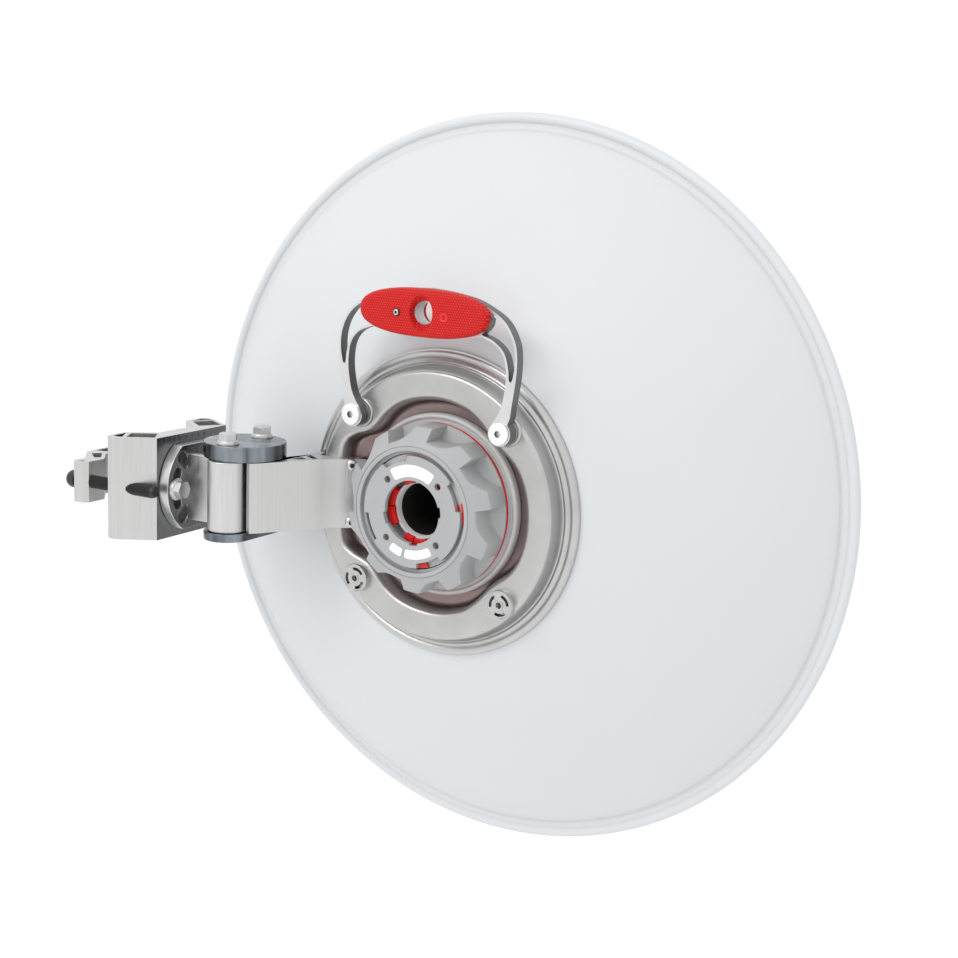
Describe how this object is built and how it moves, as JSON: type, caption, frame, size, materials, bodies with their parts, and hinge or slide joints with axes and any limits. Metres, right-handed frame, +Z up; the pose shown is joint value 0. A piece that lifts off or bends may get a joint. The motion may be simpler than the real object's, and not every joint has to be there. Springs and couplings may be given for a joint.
{
  "type": "dish antenna",
  "caption": "Rear-fed parabolic dish antenna with a carrying handle and locking feed port, on a side arm with azimuth and elevation hinges and a vee-jaw mast clamp.",
  "frame": {"origin": "centre of the front jaw's flat mast face, at the bottom of its vee", "axes": "+X from the mast towards the dish axis, +Y where the dish looks, +Z up along the mast"},
  "size_m": [0.5996, 0.2762, 0.5996],
  "materials": {
    "white_paint": "matt white paint",
    "cast_metal": "satin casting",
    "brushed_metal": "brushed",
    "zinc_steel": "bright zinc",
    "dark_steel": "dark passivated zinc",
    "grey_plastic": "matt",
    "red_plastic": "matt",
    "black_plastic": "black coated steel",
    "white_plastic": "matt"
  },
  "bodies": {
    "clamp": {"clamp_jaw_front": "brushed_metal", "elevation_lock_bolt": "zinc_steel", "elevation_pivot_bolt": "zinc_steel"},
    "rear_jaw": {"clamp_jaw_rear": "brushed_metal", "clamp_bolt_near": "black_plastic", "clamp_bolt_far": "black_plastic"},
    "tilt": {"elevation_bracket": "brushed_metal"},
    "dish": {"hinge_disc": "dark_steel", "hinge_link": "dark_steel", "azimuth_pivot_bolt": "zinc_steel", "azimuth_lock_bolt": "zinc_steel", "arm": "brushed_metal", "arm_screw_top": "zinc_steel", "arm_screw_bottom": "zinc_steel", "reflector": "white_paint", "back_plate": "cast_metal", "boss_upper_right": "cast_metal", "boss_upper_left": "cast_metal", "boss_lower_left": "cast_metal", "boss_lower_right": "cast_metal", "handle_frame": "cast_metal", "grip_shell_back": "red_plastic", "grip_shell_front": "red_plastic", "handle_bolt_right": "zinc_steel", "handle_bolt_left": "zinc_steel", "port_adaptor": "grey_plastic", "seam_ring": "red_plastic", "face_plate": "grey_plastic", "latch_ring": "red_plastic", "feed_tube": "cast_metal", "feed_cone": "white_plastic", "sub_reflector": "brushed_metal"},
    "ring": {"lock_ring": "grey_plastic"}
  },
  "joints": [
    {"name": "jaw_slide", "type": "slide", "parent": "clamp", "child": "rear_jaw", "axis": [1, 0, 0], "range_m": [-0.02, 0.015]},
    {"name": "elevation", "type": "hinge", "parent": "clamp", "child": "tilt", "pos_m": [0, 0, 0], "axis": [1, 0, 0], "range_deg": [-20, 20]},
    {"name": "azimuth", "type": "hinge", "parent": "tilt", "child": "dish", "pos_m": [0.07, -0.0213, 0], "axis": [0, 0, 1], "range_deg": [-15, 15]},
    {"name": "ring_turn", "type": "hinge", "parent": "dish", "child": "ring", "pos_m": [0.216, 0.1655, 0], "axis": [0, 1, 0], "range_deg": [0, 30]}
  ]
}
